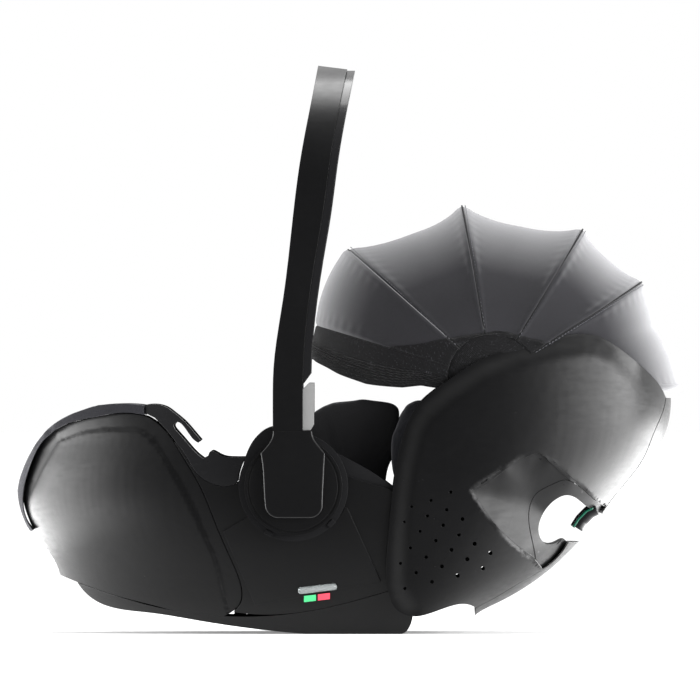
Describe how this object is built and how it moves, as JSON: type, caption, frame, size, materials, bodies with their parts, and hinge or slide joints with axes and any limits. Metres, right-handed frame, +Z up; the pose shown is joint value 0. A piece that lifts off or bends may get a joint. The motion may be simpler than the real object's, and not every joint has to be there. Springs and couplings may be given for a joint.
{
  "type": "infant car seat",
  "caption": "Rear-facing infant car seat lying flat, with a folding fan canopy, a swinging carry handle, side belt guides and a rocker base.",
  "frame": {"origin": "on the floor, under the middle of the seat's length and width", "axes": "+X from the foot end to the head end, +Y to the child's right, +Z up"},
  "size_m": [0.6961, 0.435, 0.5936],
  "materials": {
    "black_plastic": "satin, fine grain",
    "button_grey": "satin",
    "button_red": "satin",
    "canopy_fabric": "fine woven",
    "cover_fabric": "woven, padded",
    "dark_structure": "matte",
    "feet_rubber": "matte",
    "gloss_black": "polished",
    "grey_grip": "fine ribbed texture",
    "hook_green": "glossy",
    "insert_fabric": "brushed jersey",
    "knit_band": "rib knit",
    "label_green": "printed, glossy",
    "label_red": "printed, glossy",
    "pad_fabric": "jersey, padded",
    "steel": "zinc plated",
    "vial_clear": "clear",
    "webbing": "woven webbing"
  },
  "bodies": {
    "base": {"rocker_base": "black_plastic", "tub_shell": "dark_structure", "foot_panel_left": "black_plastic", "foot_panel_right": "black_plastic", "side_pod_left": "black_plastic", "side_pod_right": "black_plastic", "lap_belt_guide_left": "gloss_black", "lap_belt_guide_right": "gloss_black", "hub_seats": "dark_structure", "latch_bars": "steel", "floor_feet": "feet_rubber", "level_vials": "vial_clear", "level_scale_green": "label_green", "level_scale_red": "label_red", "seat_cover_foot": "cover_fabric", "seat_pad": "pad_fabric", "newborn_insert": "insert_fabric", "crotch_strap": "webbing", "buckle_body": "gloss_black", "buckle_tongues": "steel", "adjuster_housing": "dark_structure", "adjuster_strap": "webbing", "base_screws": "steel", "recline_pins": "steel"},
    "backrest": {"back_shell": "dark_structure", "head_panel_left": "black_plastic", "head_panel_right": "black_plastic", "back_cover_upper": "black_plastic", "back_cover_lower": "black_plastic", "belt_guides": "black_plastic", "belt_channel": "dark_structure", "belt_hooks": "hook_green", "backrest_pad": "pad_fabric", "canopy_pins": "steel", "canopy_fixed_rib": "dark_structure", "canopy_rear_fabric": "canopy_fabric", "canopy_gussets": "knit_band", "harness_straps": "webbing", "canopy_gore_front": "canopy_fabric", "canopy_gore_middle": "canopy_fabric", "canopy_gore_rear": "canopy_fabric"},
    "headrest": {"headrest_shell": "dark_structure", "headrest_pad": "pad_fabric", "shoulder_pads": "pad_fabric"},
    "headrest_lever_body": {"headrest_lever": "gloss_black"},
    "recline_lever_body": {"recline_lever": "dark_structure"},
    "base_release": {"base_release_handle": "gloss_black"},
    "buckle_button_body": {"buckle_button": "button_red"},
    "adjuster_button_body": {"adjuster_button": "button_grey"},
    "handle": {"handle_shell": "black_plastic", "handle_liner": "gloss_black", "hub_discs": "black_plastic", "hub_covers": "black_plastic"},
    "trigger_left": {"handle_release_left": "grey_grip"},
    "trigger_right": {"handle_release_right": "grey_grip"},
    "canopy_front": {"canopy_front_rib": "dark_structure", "canopy_visor": "canopy_fabric", "canopy_front_band": "knit_band"},
    "canopy_middle": {"canopy_middle_rib": "dark_structure"},
    "canopy_rear": {"canopy_rear_rib": "dark_structure"}
  },
  "joints": [
    {"name": "handle_pivot", "type": "hinge", "parent": "base", "child": "handle", "pos_m": [-0.059, 0, 0.154], "axis": [0, 1, 0], "range_deg": [0, 100]},
    {"name": "handle_release_left", "type": "slide", "parent": "handle", "child": "trigger_left", "axis": [-1, 0, 0], "range_m": [0, 0.004], "stiffness_N_per_m": 800},
    {"name": "handle_release_right", "type": "slide", "parent": "handle", "child": "trigger_right", "axis": [-1, 0, 0], "range_m": [0, 0.004], "stiffness_N_per_m": 800},
    {"name": "backrest_recline", "type": "hinge", "parent": "base", "child": "backrest", "pos_m": [0.07, 0, 0.058], "axis": [0, -1, 0], "range_deg": [0, 20], "deforming": ["harness_straps"]},
    {"name": "canopy_fold", "type": "hinge", "parent": "backrest", "child": "canopy_rear", "pos_m": [0.1487, 0, 0.266], "axis": [0, 1, 0], "range_deg": [0, 22], "deforming": ["canopy_gore_rear"]},
    {"name": "canopy_middle_fold", "type": "hinge", "parent": "canopy_rear", "child": "canopy_middle", "pos_m": [0.1487, 0, 0.266], "axis": [0, 1, 0], "range_deg": [0, 38], "deforming": ["canopy_gore_middle"]},
    {"name": "canopy_front_fold", "type": "hinge", "parent": "canopy_middle", "child": "canopy_front", "pos_m": [0.1487, 0, 0.266], "axis": [0, 1, 0], "range_deg": [0, 32], "deforming": ["canopy_gore_front"]},
    {"name": "headrest_height", "type": "slide", "parent": "backrest", "child": "headrest", "axis": [0.8141, 0, 0.5807], "range_m": [0, 0.04]},
    {"name": "headrest_lever_pull", "type": "slide", "parent": "headrest", "child": "headrest_lever_body", "axis": [0.8141, 0, 0.5807], "range_m": [0, 0.004], "stiffness_N_per_m": 500},
    {"name": "recline_lever_press", "type": "slide", "parent": "backrest", "child": "recline_lever_body", "axis": [-1, 0, 0], "range_m": [0, 0.006], "stiffness_N_per_m": 500},
    {"name": "base_release_pull", "type": "slide", "parent": "base", "child": "base_release", "axis": [1, 0, 0], "range_m": [0, 0.006], "stiffness_N_per_m": 800},
    {"name": "buckle_button_press", "type": "slide", "parent": "base", "child": "buckle_button_body", "axis": [0, 0, -1], "range_m": [0, 0.003], "stiffness_N_per_m": 500},
    {"name": "adjuster_button_press", "type": "slide", "parent": "base", "child": "adjuster_button_body", "axis": [-0.2419, 0, -0.9703], "range_m": [0, 0.003], "stiffness_N_per_m": 500}
  ],
  "couplings": [
    {"joint": "canopy_middle_fold", "follows": "canopy_fold", "ratio": 1.7273},
    {"joint": "canopy_front_fold", "follows": "canopy_fold", "ratio": 1.4545}
  ]
}
